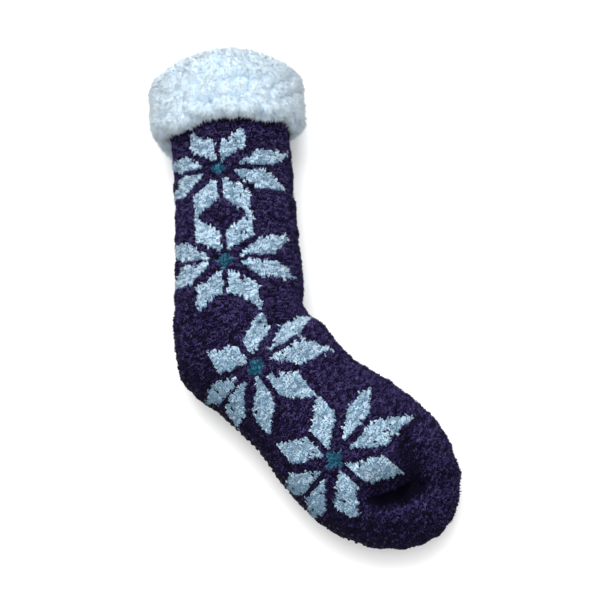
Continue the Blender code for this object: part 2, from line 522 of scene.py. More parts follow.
@dataclass
class SockForm:
    """The sock's form: sections along a bent centre line, flattened by the floor, with creases on top."""

    wall: float = 3.0
    rim_centre: tuple[float, float] = (-58.2, 168.5)
    toe_start: float = 330.0
    toe_length: float = 75.0
    squareness: float = 2.15
    widest: float = 0.46
    sag: float = 1.15
    earliest: float = -20.0
    fine_steps: int = 2000
    turn_step: float = 0.002
    along_step: float = 0.05
    corner_reach: float = 14.0
    corner_steps: int = 9
    lump: float = 0.7
    sections: tuple[Section, ...] = (
        Section("rim", 0, 4.0, 46.0, 46.0, 60, 13),
        Section("under_hem", 46, 4.0, 46.0, 46.0, 60, 13),
        Section("leg", 84, 4.0, 46.3, 46.3, 63, 3),
        Section("low_leg", 120, 4.0, 47.5, 47.5, 66, 0),
        Section("ankle", 165, 5.0, 49.0, 49.5, 69, 0),
        Section("ankle_crease", 191, 19.0, 46.5, 56.0, 71, 0),
        Section("heel", 206, 26.5, 48.5, 60.0, 71, 0),
        Section("heel_end", 231, 43.0, 53.0, 50.5, 69, 0),
        Section("arch", 262, 46.0, 50.5, 49.0, 66, 0),
        Section("waist", 296, 47.5, 55.0, 54.5, 68, 0),
        Section("ball", 325, 50.0, 57.5, 57.0, 70, 0),
        Section("tip", 405, 61.0, 59.5, 53.5, 60, 0),
    )
    creases: tuple[Crease, ...] = (
        Crease("toe_hollow", 60, -147, 87, -137, 11.0, 12.0, 12.0, 2.0),
        Crease("toe_pocket", 57, -153, 76, -147.5, 19.0, 28.0, 6.0, 2.0),
        Crease("toe_pocket_end", 76, -147.5, 86, -141, 28.0, 22.0, 6.5, 2.0),
        Crease("toe_rise", 86, -139, 82, -111, 16.0, 6.0, 9.0, 2.0),
        Crease("toe_end", 87, -141, 108, -143, 10.0, 1.5, 5.0, 2.0),
        Crease("toe_wrinkle", 93, -127, 109, -134, 2.5, 2.5, 2.5, 1.5),
        Crease("toe_roll", 48, -163, 92, -154, -3.5, -3.5, 9.0, 2.0),
        Crease("toe_side", 100, -126, 95, -110, -4.5, -4.5, 10.0, 2.0),
        Crease("ankle_front", -2, -20, -24, -27, 4.5, 4.5, 5.0, 1.5),
        Crease("leg_fold", -3, 24, -28, 27, 2.2, 2.2, 3.0, 1.5),
    )

    @property
    def end(self) -> float:
        """Place of the toe's tip along the sock."""
        return self.toe_start + self.toe_length

    def sized(self, column: str, along: np.ndarray) -> np.ndarray:
        """One column of the section table along the sock."""
        places, values = zip(*((section.along, getattr(section, column)) for section in self.sections))
        return smooth_curve(along, places, values)

    def closing(self, along: np.ndarray) -> np.ndarray:
        """How far the toe is still open along its quarter ellipse: 1 up to its start and 0 at its tip."""
        return np.sqrt(1 - np.clip((along - self.toe_start) / self.toe_length, 0, 1) ** 2)

    def centre_line(self, along: np.ndarray) -> tuple[np.ndarray, np.ndarray, np.ndarray]:
        """The centre line, by summing short steps along its heading.

        Args:
            along: places along the sock.

        Returns:
            x, y and the heading in radians.
        """
        fine = np.linspace(self.earliest, self.end, self.fine_steps)
        heading = np.radians(self.sized("heading", fine))
        step = fine[1] - fine[0]
        places = []
        for start, way in zip(self.rim_centre, (np.sin(heading), -np.cos(heading))):
            summed = np.concatenate([[0.0], np.cumsum((way[1:] + way[:-1]) / 2 * step)])
            places.append(start + np.interp(along, fine, summed) - np.interp(0.0, fine, summed))
        return places[0], places[1], np.radians(self.sized("heading", along))

    def rounded(self, value: np.ndarray) -> np.ndarray:
        """A sine or cosine turned into that of the rounded cross-section."""
        return np.sign(value) * np.abs(value) ** (2 / self.squareness)

    def crease_depth(self, x: np.ndarray, y: np.ndarray) -> np.ndarray:
        """How deep the creases lie: a bell-shaped trough or ridge about each crease's line.

        Its depth runs evenly from one end to the other. Of the troughs that meet, the deepest counts, and of
        the ridges the highest.

        Args:
            x: places seen from above.
            y: places seen from above.

        Returns:
            The depth at each place.
        """
        deepest = np.zeros(np.shape(x))
        highest = np.zeros(np.shape(x))
        for crease in self.creases:
            run = np.array([crease.x1 - crease.x0, crease.y1 - crease.y0])
            share = np.clip(((x - crease.x0) * run[0] + (y - crease.y0) * run[1]) / (run @ run), 0, 1)
            off = np.hypot(x - crease.x0 - share * run[0], y - crease.y0 - share * run[1])
            depth = crease.depth + share * (crease.end_depth - crease.depth)
            depth = depth * np.exp(-((off / crease.half_width) ** crease.sharpness))
            deepest = np.maximum(deepest, depth)
            highest = np.minimum(highest, depth)
        return deepest + highest

    def surface(self, along: np.ndarray, turn: np.ndarray) -> np.ndarray:
        """The knit's outer face: a rounded section carried along the centre line, cut flat by the floor.

        Args:
            along: places along the sock.
            turn: angles round it, of a shape that fits along.

        Returns:
            Points, with x, y and z along the last axis.
        """
        x, y, heading = self.centre_line(along)
        closing = self.closing(along)
        across = self.rounded(np.cos(turn))
        reach = np.where(across > 0, self.sized("front", along), self.sized("back", along)) * closing * across
        middle = self.sized("thick", along) * self.widest
        above = (self.sized("thick", along) - middle) * closing
        up = self.rounded(np.sin(turn))
        height = np.where(up > 0, middle + above * up, middle + middle * self.sag * closing * up)
        height = self.sized("lift", along) + np.maximum(height, 0)
        px = x + reach * np.cos(heading)
        py = y + reach * np.sin(heading)
        return np.stack([px, py, height - self.crease_depth(px, py) * np.clip(up, 0, 1)], axis=-1)

    def outward(self, along: np.ndarray, turn: np.ndarray) -> np.ndarray:
        """Unit normals of the outer face, from differences over a small step each way.

        Args:
            along: places along the sock.
            turn: angles round it.

        Returns:
            One normal for each point of surface.
        """
        by_turn = self.surface(along, turn + self.turn_step) - self.surface(along, turn - self.turn_step)
        by_along = self.surface(along + self.along_step, turn) - self.surface(along - self.along_step, turn)
        return unit(np.cross(by_turn, by_along))

    def soft_outward(self, along: np.ndarray, turn: np.ndarray) -> np.ndarray:
        """Unit normals averaged over the corner's reach, so that faces set in by them do not cross."""
        steps = np.radians(np.linspace(-self.corner_reach, self.corner_reach, self.corner_steps))
        return unit(sum(self.outward(along, turn + step) for step in steps))

    def softness(self, points: np.ndarray) -> np.ndarray:
        """Slight lumps of the slack knit: a sum of crossing waves, 9 to 34 mm from crest to crest.

        Args:
            points: places on the knit.

        Returns:
            The height of the lumps at each place.
        """
        x, y, z = points[..., 0], points[..., 1], points[..., 2]
        wide = np.sin(x / 4.1 + 0.6 * z / 5) * np.sin(y / 5.3 + 1.0)
        slanting = 0.6 * np.sin((x + y) / 3.2 + z / 6.0)
        fine = 0.35 * np.sin((x - y) / 2.1 + 2.0)
        return self.lump * (wide + slanting + fine)


@dataclass
class KnitGrid:
    """The stitches: courses along the sock and half wales round it, and the yarn that each is knitted in."""

    form: SockForm
    halves: int = 168
    course: float = 2.05
    toe_rows: int = 50
    girth_steps: int = 1080
    star_halves: int = 84
    petal_edges: tuple[float, float] = (0.9, 7.4)
    petal_foot: tuple[float, float] = (2.8, 0.85)
    petal_top: tuple[float, float] = (10.7, 0.97)
    course_squeeze: float = 0.95
    centre_reach: float = 2.2
    centre_squeeze: float = 0.75
    strip_start: float = 27.0
    bow_reach: float = 15.0
    bow_most: float = 1.2
    instep_reach: float = 3.0
    ragged: float = 0.12
    specks: float = 0.025
    seed: int = 5
    star_line: tuple[tuple[float, float], ...] = (
        (0.0, 8.0),
        (74.7, 7.9),
        (147.0, 6.7),
        (188.0, 7.0),
        (228.9, 8.3),
        (268.0, 13.8),
        (312.7, 16.1),
        (405.0, 17.0),
    )
    stars: tuple[Star, ...] = (
        Star("first", 74.7, 1.67, 2.03, 1.18, 1.0, 0.0, ((-1, 1.5), (1, 1.2))),
        Star("second", 145.6, 2.02, 2.16, 1.0, 1.0, 1.0, ((-1, 0.9),)),
        Star("third", 226.4, 1.83, 2.41, 1.12, 1.05, -2.2, ()),
        Star("fourth", 311.6, 2.25, 2.3, 1.0, 1.2, 0.0, ()),
    )
    along: np.ndarray = field(init=False)
    turn: np.ndarray = field(init=False)
    yarn: np.ndarray = field(init=False)
    wide: np.ndarray = field(init=False)

    def __post_init__(self) -> None:
        """Works out the rows, the angle of every half wale in each row, and the chart."""
        leg_rows = round(self.form.toe_start / self.course)
        leg = np.linspace(0, self.form.toe_start, leg_rows, endpoint=False)
        angles = np.linspace(0, np.pi / 2, self.toe_rows, endpoint=False)
        self.along = np.concatenate([leg, self.form.toe_start + self.form.toe_length * np.sin(angles)])
        self.turn, self.wide = self.wale_angles()
        self.yarn = self.brushed_over(self.chart())

    def wale_angles(self) -> tuple[np.ndarray, np.ndarray]:
        """The angle of each half wale: they share out the girth evenly, from the line of the stars.

        Returns:
            Angles, one row a course and one column an edge, the last a full turn past the first, and the
            width of a half wale in each course.
        """
        fine = np.linspace(-2 * np.pi, 4 * np.pi, self.girth_steps + 1)
        ring = self.form.surface(self.along[:, None], fine[None, :])
        steps = np.linalg.norm(np.diff(ring, axis=1), axis=-1)
        arc = np.concatenate([np.zeros((len(ring), 1)), np.cumsum(steps, axis=1)], axis=1)
        girth = arc[:, -1] / 3
        top = arc[:, np.argmin(np.abs(fine - np.pi / 2))]
        past = smooth_curve(self.along, *zip(*self.star_line))
        wide = girth / self.halves
        wanted = (top + past)[:, None] + wide[:, None] * (np.arange(self.halves + 1) - 0.5)[None, :]
        # every row is put on its own stretch of one long line, so that one interpolation serves them all
        stretch = 2 * arc.max() * np.arange(len(arc))[:, None]
        angles = np.interp((wanted + stretch).ravel(), (arc + stretch).ravel(), np.tile(fine, len(arc)))
        return angles.reshape(wanted.shape), wide

    def counted(self, star: Star, length: np.ndarray, beside: np.ndarray) -> tuple[np.ndarray, np.ndarray]:
        """Counts wales and courses from a star's middle, as the knit is pulled there.

        Args:
            star: the star.
            length: length down the knit to each half stitch, a course a row.
            beside: wales from the nearest line of stars, for each half wale.

        Returns:
            The count of wales and the count of courses at each half stitch.
        """
        row = np.interp(star.along, self.along, np.arange(len(self.along)))
        low, share = int(row), row % 1
        off = length - (length[low] * (1 - share) + length[low + 1] * share)
        aside = np.clip(beside / self.bow_reach, -self.bow_most, self.bow_most)
        off = off + star.bow * star.course_up * aside**2
        instep = np.clip(-beside / self.instep_reach, 0, 1)
        down = star.course_down * (1 + (star.tall - 1) * instep)
        courses = np.abs(off) / np.where(off < 0, star.course_up, down)
        longer = (off < 0) & (courses < np.abs(beside))
        return np.abs(beside) / np.where(longer, 1 + (star.wide - 1) * instep, 1), courses

    def chart(self) -> np.ndarray:
        """The star chart: eight slanting petals about each star's middle, mirrored along axes and diagonals.

        A stitch lies in a petal if, counted from the middle, its smaller count is within the petal's edges
        and its larger count lies between the petal's slanting ends, each a straight line over the smaller
        count.
        Petals that lie across the sock are a little wider in courses than those along it are in wales. Thin
        strips join the tips of some petals to the next star's.

        Returns:
            The number of the yarn of each half stitch, a course a row.
        """
        middle_turn = (self.turn[:, 1:] + self.turn[:, :-1]) / 2
        places = self.form.surface(self.along[:, None], middle_turn)
        steps = np.linalg.norm(np.diff(places, axis=0), axis=-1)
        length = np.concatenate([np.zeros((1, self.halves)), np.cumsum(steps, axis=0)])
        half_star = self.star_halves // 2
        beside = ((np.arange(self.halves) + half_star) % self.star_halves - half_star) / 2
        inner_edge, outer_edge = self.petal_edges
        yarn = np.full(length.shape, Yarn.GROUND.value)
        for star in self.stars:
            wales, courses = self.counted(star, length, beside)
            less, more = np.minimum(wales, courses), np.maximum(wales, courses)
            less = np.where(courses < wales, self.course_squeeze * less, less)
            petal = (less > inner_edge) & (less < outer_edge)
            petal &= more > np.polyval(self.petal_foot[::-1], less)
            petal &= more < np.polyval(self.petal_top[::-1], less)
            yarn[petal] = Yarn.PETAL.value
            yarn[wales + self.centre_squeeze * courses < self.centre_reach] = Yarn.CENTRE.value
        for star, following in zip(self.stars, self.stars[1:]):
            between = self.along > star.along + self.strip_start
            between &= self.along < following.along - self.strip_start
            for side, wide in star.strips:
                strip = (side * beside > outer_edge - wide) & (side * beside < outer_edge)
                yarn[between[:, None] & strip[None, :]] = Yarn.PETAL.value
        return yarn

    def brushed_over(self, yarn: np.ndarray) -> np.ndarray:
        """Roughens the chart as brushing does: some half stitches show a neighbour's yarn.

        Args:
            yarn: the clean chart.

        Returns:
            The chart with ragged edges, and a few specks of the ground yarn in the petals.
        """
        rng = np.random.default_rng(self.seed)
        moved = rng.uniform(0, 1, yarn.shape) < self.ragged
        rows = np.arange(len(yarn))[:, None] + rng.integers(-1, 2, yarn.shape) * moved
        columns = np.arange(self.halves) + rng.integers(-1, 2, yarn.shape) * moved
        ragged = yarn[np.clip(rows, 0, len(yarn) - 1), columns % self.halves]
        speck = (rng.uniform(0, 1, yarn.shape) < self.specks) & (ragged == Yarn.PETAL.value)
        return np.where(speck, Yarn.GROUND.value, ragged)


@dataclass(frozen=True)
class FuzzyKnit:
    """Brushed acrylic knit: matt and painted dark under its pile as shade, with painted shade in specks where
    loops of yarn shade each other.
    """

    name: str = "brushed_acrylic_knit"
    # the wall's colours, kept darker than the pile as painted shade under it
    ground: str = "#0b0718"
    centre: str = "#143c50"
    petal: str = "#6a8a9f"
    speck: float = 1.4
    shades: tuple[float, float] = (0.45, 1.15)
    loop_height: float = 0.8
    loop_strength: float = 0.9
    roughness: float = 0.95
    gloss: float = 0.05

    def material(self) -> bpy.types.Material:
        """Colours by the yarn number of each stitch, darkened with painted shade in specks the size of a loop
        of yarn.
        """
        finish, tree, shader = new_finish(self.name, self.roughness, self.gloss)
        yarn = add_node(tree, "Attribute", attribute_name="yarn")
        share = add_node(tree, "Math", {0: yarn.outputs["Fac"], 1: Yarn.PETAL.value}, operation="DIVIDE")
        ramp = add_node(tree, "ValToRGB", {"Fac": share.outputs[0]})
        ramp.color_ramp.interpolation = "CONSTANT"
        colour = set_ramp(ramp, [(0.0, self.ground), (0.3, self.centre), (0.8, self.petal)])
        place = add_node(tree, "TexCoord")
        pattern = {"Scale": 1 / (self.speck * METRES), "Detail": 3.0, "Roughness": 0.6}
        noise = add_node(tree, "TexNoise", {"Vector": place.outputs["Object"], **pattern}).outputs["Fac"]
        darkest, palest = self.shades
        steps = {"From Min": 0.35, "From Max": 0.65, "To Min": darkest, "To Max": palest}
        shade = add_node(tree, "MapRange", {"Value": noise, **steps})
        mixed = add_node(tree, "VectorMath", {0: colour, 1: shade.outputs["Result"]}, operation="MULTIPLY")
        tree.links.new(mixed.outputs[0], shader.inputs["Base Color"])
        relief = {"Strength": self.loop_strength, "Distance": self.loop_height * METRES}
        bump = add_node(tree, "Bump", {"Height": noise, **relief})
        tree.links.new(bump.outputs["Normal"], shader.inputs["Normal"])
        return finish


@dataclass(frozen=True)
class YarnPile:
    """Brushed acrylic yarn ends: matt, with painted shade at the foot and paler tips, so that the pile looks
    deep.
    """

    name: str
    foot: str
    middle: str
    tip: str
    roughness: float = 0.9
    gloss: float = 0.05

    def material(self) -> bpy.types.Material:
        """Colours from foot to tip by the tone that the mesh carries, random tone mixed with painted shade.
        """
        finish, tree, shader = new_finish(self.name, self.roughness, self.gloss)
        tone = add_node(tree, "Attribute", attribute_name="tone")
        ramp = add_node(tree, "ValToRGB", {"Fac": tone.outputs["Fac"]})
        colour = set_ramp(ramp, [(0.0, self.foot), (0.5, self.middle), (1.0, self.tip)])
        tree.links.new(colour, shader.inputs["Base Color"])
        return finish


@dataclass(frozen=True)
class CurlyFleece:
    """Polyester sherpa fleece: curled white pile with a cool tint and a faint sheen, painted greyer between
    curls and clumps as shade.
    """

    name: str = "polyester_sherpa_fleece"
    # painted shade: the deep colour is for hollows between curls and clumps, the crest for their tops
    deep: str = "#bfd5e6"
    middle: str = "#cde6fa"
    crest: str = "#e0f1fb"
    curl: float = 2.2
    curl_shade_tone: float = 0.4
    curl_height: float = 0.9
    curl_strength: float = 0.42
    roughness: float = 1.0
    gloss: float = 0.05
    sheen: float = 0.3
    sheen_roughness: float = 0.5

    def material(self) -> bpy.types.Material:
        """Colours by the height of the pile that the mesh carries, as painted shade greyer in the hollows,
        with fine curls as bump and as painted shade.
        """
        finish, tree, shader = new_finish(self.name, self.roughness, self.gloss)
        shader.inputs["Sheen Weight"].default_value = self.sheen
        shader.inputs["Sheen Roughness"].default_value = self.sheen_roughness
        tone = add_node(tree, "Attribute", attribute_name="tone")
        place = add_node(tree, "TexCoord")
        pattern = {"Scale": 1 / (self.curl * METRES), "Detail": 3.0, "Roughness": 0.6, "Distortion": 0.8}
        noise = add_node(tree, "TexNoise", {"Vector": place.outputs["Object"], **pattern}).outputs["Fac"]
        # the curls' noise darkens their hollows, where the bump is low, as painted shade
        centred = add_node(tree, "Math", {0: noise, 1: 0.5}, operation="SUBTRACT")
        parts = {0: centred.outputs[0], 1: self.curl_shade_tone, 2: tone.outputs["Fac"]}
        spread = add_node(tree, "Math", parts, operation="MULTIPLY_ADD")
        ramp = add_node(tree, "ValToRGB", {"Fac": spread.outputs[0]})
        colour = set_ramp(ramp, [(0.05, self.deep), (0.45, self.middle), (0.9, self.crest)])
        tree.links.new(colour, shader.inputs["Base Color"])
        relief = {"Strength": self.curl_strength, "Distance": self.curl_height * METRES}
        bump = add_node(tree, "Bump", {"Height": noise, **relief})
        tree.links.new(bump.outputs["Normal"], shader.inputs["Normal"])
        return finish


@dataclass(frozen=True)
class Mottled:
    """A smooth surface of one colour with faint patches of another."""

    name: str
    colour: str
    patch_colour: str
    patch: float
    stops: tuple[float, float]
    roughness: float
    gloss: float

    def material(self) -> bpy.types.Material:
        """Two colours by a soft noise whose patches have a size in millimetres."""
        finish, tree, shader = new_finish(self.name, self.roughness, self.gloss)
        place = add_node(tree, "TexCoord")
        pattern = {"Vector": place.outputs["Object"], "Scale": 1 / (self.patch * METRES)}
        noise = add_node(tree, "TexNoise", pattern)
        ramp = add_node(tree, "ValToRGB", {"Fac": noise.outputs["Fac"]})
        colour = set_ramp(ramp, list(zip(self.stops, (self.colour, self.patch_colour))))
        tree.links.new(colour, shader.inputs["Base Color"])
        return finish


# printed silicone rubber: dark, smooth and almost matt, dusty in patches a few dots across
GRIP_RUBBER = Mottled("printed_silicone_rubber", "#0c0a14", "#15121f", 9.0, (0.4, 0.65), 0.65, 0.15)
# smooth paper: pale and matt, with a mottle that is barely seen
BACKDROP_PAPER = Mottled("pale_backdrop_paper", "#f6f6f6", "#f9f9f9", 300.0, (0.3, 0.7), 0.9, 0.1)


@dataclass
class KnitSock:
    """The knitted sock: a wall with one face a half stitch, and the brushed pile of its three yarns."""

    form: SockForm
    grid: KnitGrid
    inset: float = 1.0
    inner_step: int = 4
    crowd: float = 1.1
    tuft_wide: float = 0.4
    tuft_lean: float = 0.75
    tuft_tone: float = 0.22
    hair_tone: float = 0.08
    # tone added at each hair's foot and tip: painted shade, darker at the foot
    foot_shade_rise: tuple[float, float] = (0.2, 0.9)
    spread: float = 0.4
    sunk: float = 0.3
    facing_lean: float = 0.7
    lowest: float = 0.15
    # in creases the pile is shorter and, as painted shade, darker
    matted_shaded_depth: float = 16.0
    painted_crease_shade: float = 0.65
    matted_length: float = 0.5
    # steep sides of the pile are darkened with painted shade
    painted_side_shade: float = 0.28
    side_slope: float = 0.5
    # on the sole's side of the foot the pile is rubbed shorter and darkened with painted shade
    sole_edge: float = 0.3
    sole_start: tuple[float, float] = (185.0, 215.0)
    painted_sole_shade: float = 0.3
    sole_length: float = 0.5
    seed: int = 11
    brushes: tuple[Brush, ...] = (
        Brush(Yarn.GROUND, 4, (1.5, 2.6), (0.6, 0.85), "#0a0615", "#251e44", "#4c4570"),
        Brush(Yarn.CENTRE, 4, (1.7, 2.7), (0.55, 0.8), "#0e2c3a", "#26576f", "#4b7c8f"),
        Brush(Yarn.PETAL, 5, (1.9, 3.1), (0.5, 0.75), "#3f5a70", "#9fb7cb", "#d0e1ed"),
    )
    stretches: tuple[Stretch, ...] = (
        Stretch("leg", 34.0, 195.0),
        Stretch("foot", 195.0, 318.0),
        Stretch("toe", 318.0, 405.0),
    )

    def skin(self, along: np.ndarray, turn: np.ndarray) -> tuple[np.ndarray, np.ndarray]:
        """The ground that the pile stands on, a little inside the sock's form except where it lies flat.

        Args:
            along: places along the sock.
            turn: angles round it.

        Returns:
            Points and unit normals.
        """
        points = self.form.surface(along, turn)
        normal = self.form.outward(along, turn)
        loose = np.clip(1 + normal[..., 2:], 0, 1)
        off = (self.form.softness(points)[..., None] - self.inset) * loose
        return points + off * normal, normal

    def build_wall(self, finish: bpy.types.Material) -> None:
        """The knitted wall, with a face for each half of a stitch and its yarn's number on the face.

        Args:
            finish: its material.
        """
        form, grid = self.form, self.grid
        along, turn = grid.along[:, None], grid.turn[:, :-1]
        outer, _ = self.skin(along, turn)
        last = len(along) - 1
        kept = np.append(np.arange(0, last, self.inner_step), last)
        inner = form.surface(along[kept], turn[kept])
        inner = inner - form.wall * form.soft_outward(along[kept], turn[kept])
        x, y, heading = form.centre_line(np.array(form.end))
        tip = np.array([x, y, form.sized("thick", np.array(form.end)) * form.widest])
        ahead = np.array([np.sin(heading), -np.cos(heading), 0.0])
        tips = np.stack([tip - ahead * self.inset, tip - ahead * form.wall])
        points, faces = bag(outer, inner, tips)
        piece = make_piece("knit_wall", points, faces, finish)
        stitch = grid.yarn[:-1].ravel()
        plain = np.zeros(len(piece.data.polygons) - len(stitch))
        add_value(piece, "yarn", np.concatenate([stitch, plain]), "FACE")
        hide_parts("knit_sock")

    def wear_and_shade(self, along: np.ndarray, turn: np.ndarray, roots: np.ndarray) -> tuple[np.ndarray, np.ndarray]:
        """How far the pile is pressed shorter and darkened with painted shade in the creases, and how far it
        is rubbed shorter and darkened with painted shade on the sole's side.

        Args:
            along: places along the sock.
            turn: angles round it.
            roots: the same places as points.

        Returns:
            Two shares from 0 to 1.
        """
        depth = self.form.crease_depth(roots[:, 0], roots[:, 1]) * (np.sin(turn) > 0)
        sole = np.clip((-np.cos(turn) - self.sole_edge) / (1 - self.sole_edge), 0, 1)
        on_foot = np.interp(along, self.sole_start, (0, 1))
        return np.clip(depth / self.matted_shaded_depth, 0, 1), sole * on_foot

    def build_pile(self, brush: Brush) -> None:
        """The brushed hairs of one yarn, a few on each of its half stitches, leaning at random.

        Hairs on one stitch share a lean and a tone. In a crease and on the sole they are shorter, and darker
        with painted shade, and on steep sides darker with painted shade.

        Args:
            brush: which yarn, and its hairs.
        """
        yarn = brush.yarn
        name = yarn.name.lower()
        finish = YarnPile(f"{name}_brushed_yarn", brush.foot, brush.middle, brush.tip).material()
        rng = np.random.default_rng(self.seed + yarn.value)
        grid = self.grid
        row, half = np.nonzero((grid.yarn == yarn.value) & (grid.along[:, None] > self.stretches[0].start))
        row, half = np.repeat(row, brush.each), np.repeat(half, brush.each)
        area = grid.wide * np.gradient(grid.along)
        keep = rng.uniform(0, 1, len(row)) < np.clip(area[row] / area.max() * self.crowd, 0, 1)
        row, half = row[keep], half[keep]
        stitches = (len(grid.along), grid.halves // 2)
        tuft_lean = rng.normal(0, self.tuft_lean, (*stitches, 3))[row, half // 2]
        tuft_tone = rng.normal(0, self.tuft_tone, stitches)[row, half // 2]
        push = rng.uniform(-self.tuft_wide, self.tuft_wide, (len(row), 2))
        along = np.interp(row + push[:, 0], np.arange(len(grid.along)), grid.along)
        share = 0.5 + push[:, 1]
        turn = grid.turn[row, half] * (1 - share) + grid.turn[row, half + 1] * share
        roots, normal = self.skin(along, turn)
        matted_and_shaded, worn_and_shaded = self.wear_and_shade(along, turn, roots)
        ways = unit(normal + tuft_lean + rng.normal(0, self.spread, normal.shape))
        lengths = rng.uniform(*brush.length, len(row))
        lengths = lengths * (1 - self.matted_length * matted_and_shaded) * (1 - self.sole_length * worn_and_shaded)
        widths = rng.uniform(*brush.radius, len(row))
        roots = roots - self.sunk * normal
        tone = tuft_tone + rng.normal(0, self.hair_tone, len(row))
        # painted shade: the tone is lowered in creases, on the sole's side and on steep sides
        tone = tone - self.painted_crease_shade * matted_and_shaded - self.painted_sole_shade * worn_and_shaded
        tone = tone - self.painted_side_shade * np.clip(1 - normal[:, 2] / self.side_slope, 0, 1)
        clear = np.minimum(roots[:, 2] - widths, roots[:, 2] + ways[:, 2] * lengths) > self.lowest
        for stretch in self.stretches:
            here = clear & (along >= stretch.start) & (along < stretch.end)
            if not here.any():
                continue
            shapes = hairs(roots[here], ways[here], lengths[here], widths[here], rng)
            facing = unit(normal[here] + self.facing_lean * ways[here])
            pile = f"{name}_pile_{stretch.name}"
            make_hairs(pile, shapes, tone[here], self.foot_shade_rise, facing, finish)

    def build(self) -> None:
        """Builds the wall and the pile of each yarn."""
        self.build_wall(FuzzyKnit().material())
        for brush in self.brushes:
            self.build_pile(brush)


@dataclass
class SherpaCuff:
    """The end of the fleece lining, turned out over the rim as a deep cuff."""

    form: SockForm
    gap: float = 0.3
    hem: float = 40.0
    hem_round: float = 11.0
    hem_lowest: float = 0.4
    hem_shows: float = 3.0
    hem_rows: int = 18
    leg_rows: int = 25
    roll_start: float = 4.0
    roll_rows: int = 44
    inner_hem: float = 30.0
    inner_pile: float = 7.0
    inner_round: float = 6.0
    inner_rows: int = 20
    inner_angles: tuple[float, ...] = (22, 45, 68, 90)
    hidden: tuple[float, float] = (14.0, 28.0)
    around: int = 280
    clump: float = 9.5
    clump_stretch: float = 1.4
    clump_height: float = 3.0
    clump_round: float = 0.6
    # tones in a clump's hollow and on its top: painted shade between clumps
    clump_shade_tones: tuple[float, float] = (0.3, 0.75)
    wander_across: tuple[float, float] = (2.5, 6.0)
    wander_down: tuple[float, float] = (2.0, 7.0)
    sway: tuple[Wave, ...] = (Wave(2, 1.6, 0.8), Wave(5, 1.6, 2.1), Wave(9, 1.2, 0.0))
    tuft_room: float = 3.4
    tuft_hairs: int = 46000
    tuft_length: tuple[float, float] = (3.5, 6.0)
    tuft_radius: tuple[float, float] = (0.32, 0.52)
    tuft_pull: float = 0.8
    tuft_droop: float = 0.9
    tuft_stand: float = 1.2
    tuft_spread: float = 0.5
    tuft_sunk: float = 0.6
    tuft_tone: float = 0.05
    # tone added at each fibre's foot and tip: painted shade, darker at the foot
    foot_shade_rise: tuple[float, float] = (0.05, 0.35)
    lowest: float = 0.1
    seed: int = 23
    piles: tuple[Pile, ...] = (
        Pile("front", 0, 12.5, 5.0, 0.0),
        Pile("upper", 90, 14.5, 17.0, 0.5),
        Pile("upper_back", 112, 14.65, 15.1, 5.2),
        Pile("back", 180, 15.5, 4.0, 2.6),
        Pile("low_back", 225, 14.8, 4.3, 9.0),
        Pile("floor", 270, 13.6, 5.0, 4.0),
    )

    def round_the_leg(self, column: str, turn: np.ndarray) -> np.ndarray:
        """One column of the pile table round the leg, by a smooth curve that closes on itself."""
        places = np.array([row.turn for row in self.piles])
        values = np.array([getattr(row, column) for row in self.piles])
        places = np.concatenate([places - 360, places, places + 360])
        return smooth_curve(np.degrees(turn), places, np.tile(values, 3))

    def profile(self) -> np.ndarray:
        """The closed profile: from the hem up the leg, over the rim, down inside and back along the knit.

        Returns:
            The fields of a FleeceRow in columns, a row of the profile each.
        """
        inside = -(self.form.wall + self.gap)
        middle = -self.form.wall / 2
        hem_top = self.hem - self.hem_round
        lowest = np.arcsin(self.hem_lowest / (1 - self.hem_lowest))
        rows = []
        for a in np.linspace(-lowest, np.pi / 2, self.hem_rows):
            share = self.hem_lowest + (1 - self.hem_lowest) * np.sin(a)
            along = self.hem - self.hem_round * (1 - np.cos(a))
            shows = min(1, self.hem_shows * share)
            rows.append(FleeceRow(along, self.gap, outer=share, shows=shows, follows=1))
        for along in np.linspace(hem_top, self.roll_start, self.leg_rows + 1)[1:]:
            follows = (along - self.roll_start) / (hem_top - self.roll_start)
            rows.append(FleeceRow(along, self.gap, outer=1, follows=follows))
        for a in np.radians(np.linspace(0, 180, self.roll_rows + 2)[1:-1]):
            side = np.cos(a)
            edge = self.gap if side > 0 else inside
            base = middle + (edge - middle) * abs(side)
            along = self.roll_start * (1 - np.sin(a))
            rows.append(FleeceRow(along, base, np.sin(a), max(side, 0), max(-side, 0)))
        for along in np.linspace(self.roll_start, self.inner_hem - self.inner_round, self.inner_rows):
            rows.append(FleeceRow(along, inside, inner=1))
        for a in np.radians(self.inner_angles):
            along = self.inner_hem - self.inner_round * (1 - np.sin(a))
            rows.append(FleeceRow(along, inside, inner=np.cos(a), shows=np.cos(a)))
        for along in (self.hidden[0], -self.gap):
            rows.append(FleeceRow(along, inside, shows=0))
        for along in (-self.gap, *self.hidden):
            rows.append(FleeceRow(along, self.gap, shows=0))
        return np.array(rows)

    def smooth_form(self) -> tuple[np.ndarray, np.ndarray, np.ndarray]:
        """The cuff without its clumps: the profile set off from the knit and carried round the leg.

        Returns:
            Points on a grid, a ring a row, how much of the pile shows in each row, and whether the row lies
            outside.
        """
        along, base, roll, outer, inner, shows, follows = self.profile().T[:, :, None]
        turn = (np.arange(self.around) * 2 * np.pi / self.around)[None, :]
        sway = sum(wave.height * np.sin(wave.times * turn + wave.start) for wave in self.sway)
        along = along + follows * (sway + self.round_the_leg("drop", turn))
        off = base + outer * self.round_the_leg("thick", turn) - inner * self.inner_pile
        heading = np.radians(self.form.sections[0].heading)
        up_the_leg = np.array([-np.sin(heading), np.cos(heading), 0.0])
        rise = (roll * self.round_the_leg("roll", turn))[..., None] * up_the_leg
        skin = self.form.surface(along, turn)
        return skin + off[..., None] * self.form.soft_outward(along, turn) + rise, shows, outer > 0

